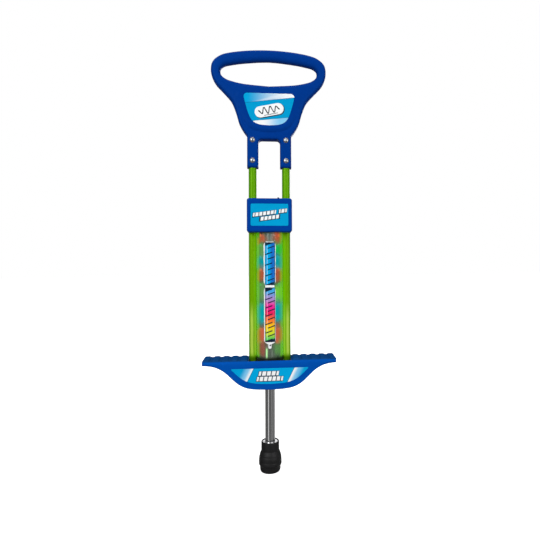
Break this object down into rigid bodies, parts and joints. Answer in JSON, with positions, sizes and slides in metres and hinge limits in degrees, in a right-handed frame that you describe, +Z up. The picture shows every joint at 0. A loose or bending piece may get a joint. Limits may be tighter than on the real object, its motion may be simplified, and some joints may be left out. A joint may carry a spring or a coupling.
{
  "type": "pogo stick",
  "caption": "Child's pogo stick: closed-loop handle on twin uprights, light barrel with battery collar, winged footrest, sprung plunger and rubber foot.",
  "frame": {"origin": "centre of the rubber foot's sole, where the stick stands on the ground", "axes": "+Z up along the plunger, front (labels) towards -Y, footrest along X"},
  "size_m": [0.2608, 0.06, 0.843],
  "materials": {
    "green_tube": "glossy lime-green powder coat",
    "plug_black": "matt moulded",
    "handle_blue": "satin moulded",
    "collar_blue": "satin moulded",
    "footrest_blue": "satin moulded",
    "screw_zinc": "zinc plated",
    "rivet_metal": "bright domed heads",
    "handle_print": null,
    "collar_print": null,
    "footrest_print": null,
    "barrel_print": null,
    "tray_black": "moulded",
    "contact_nickel": "nickel plated",
    "cell_wrap": "shrink sleeve",
    "board_green": "solder mask",
    "chip_black": "epoxy",
    "sensor_can": "plated can",
    "lead_red": "PVC sleeve",
    "lead_white": "PVC sleeve",
    "clear_barrel": "clear polycarbonate",
    "strip_mask": "grey solder mask",
    "led_red": "epoxy dome, lit",
    "led_green": "epoxy dome, lit",
    "led_teal": "epoxy dome, lit",
    "zinc_tube": "bright zinc plate",
    "spring_steel": "oiled spring wire",
    "nylon": "natural nylon",
    "stop_rubber": "soft",
    "bracket_steel": "black paint",
    "chromed_tube": "polished",
    "foot_rubber": "moulded, satin",
    "washer_steel": "bright",
    "button_black": "soft touch"
  },
  "bodies": {
    "frame": {"left_upright": "green_tube", "right_upright": "green_tube", "upright_plugs": "plug_black", "handle_front_shell": "handle_blue", "handle_rear_shell": "handle_blue", "handle_screws": "screw_zinc", "handle_rivets": "rivet_metal", "handle_label": "handle_print", "collar_front_shell": "collar_blue", "collar_rear_shell": "collar_blue", "collar_screws": "screw_zinc", "collar_label": "collar_print", "battery_tray": "tray_black", "battery_contacts": "contact_nickel", "batteries": "cell_wrap", "circuit_board": "board_green", "board_screws": "screw_zinc", "control_chip": "chip_black", "motion_sensor": "sensor_can", "button_switch": "chip_black", "board_leads": "lead_red", "light_leads": "lead_white", "light_barrel": "clear_barrel", "barrel_label": "barrel_print", "left_light_strip": "strip_mask", "right_light_strip": "strip_mask", "red_leds": "led_red", "green_leds": "led_green", "teal_leds": "led_teal", "spring_tube": "zinc_tube", "spring_cap": "tray_black", "cap_pin": "screw_zinc", "main_spring": "spring_steel", "lower_bushing": "nylon", "bump_stop": "stop_rubber", "footrest_front_shell": "footrest_blue", "footrest_rear_shell": "footrest_blue", "footrest_screws": "screw_zinc", "footrest_bracket": "bracket_steel", "bracket_bolts": "screw_zinc", "footrest_label": "footrest_print"},
    "plunger": {"plunger_tube": "chromed_tube", "plunger_head": "nylon", "plunger_pin": "screw_zinc", "rubber_foot": "foot_rubber", "foot_washer": "washer_steel", "foot_insert": "washer_steel"},
    "button": {"power_button": "button_black"},
    "door": {"battery_door": "collar_blue", "door_screw": "screw_zinc"}
  },
  "joints": [
    {"name": "plunger_slide", "type": "slide", "parent": "frame", "child": "plunger", "axis": [0, 0, 1], "range_m": [0, 0.075], "stiffness_N_per_m": 4500, "springref_m": -0.02, "deforming": ["main_spring"]},
    {"name": "button_press", "type": "slide", "parent": "frame", "child": "button", "axis": [0, 0, -1], "range_m": [0, 0.0015], "stiffness_N_per_m": 600, "springref_m": -0.0005},
    {"name": "battery_door_hinge", "type": "hinge", "parent": "frame", "child": "door", "pos_m": [0, 0.0288, 0.4932], "axis": [-1, 0, 0], "range_deg": [0, 90]}
  ]
}
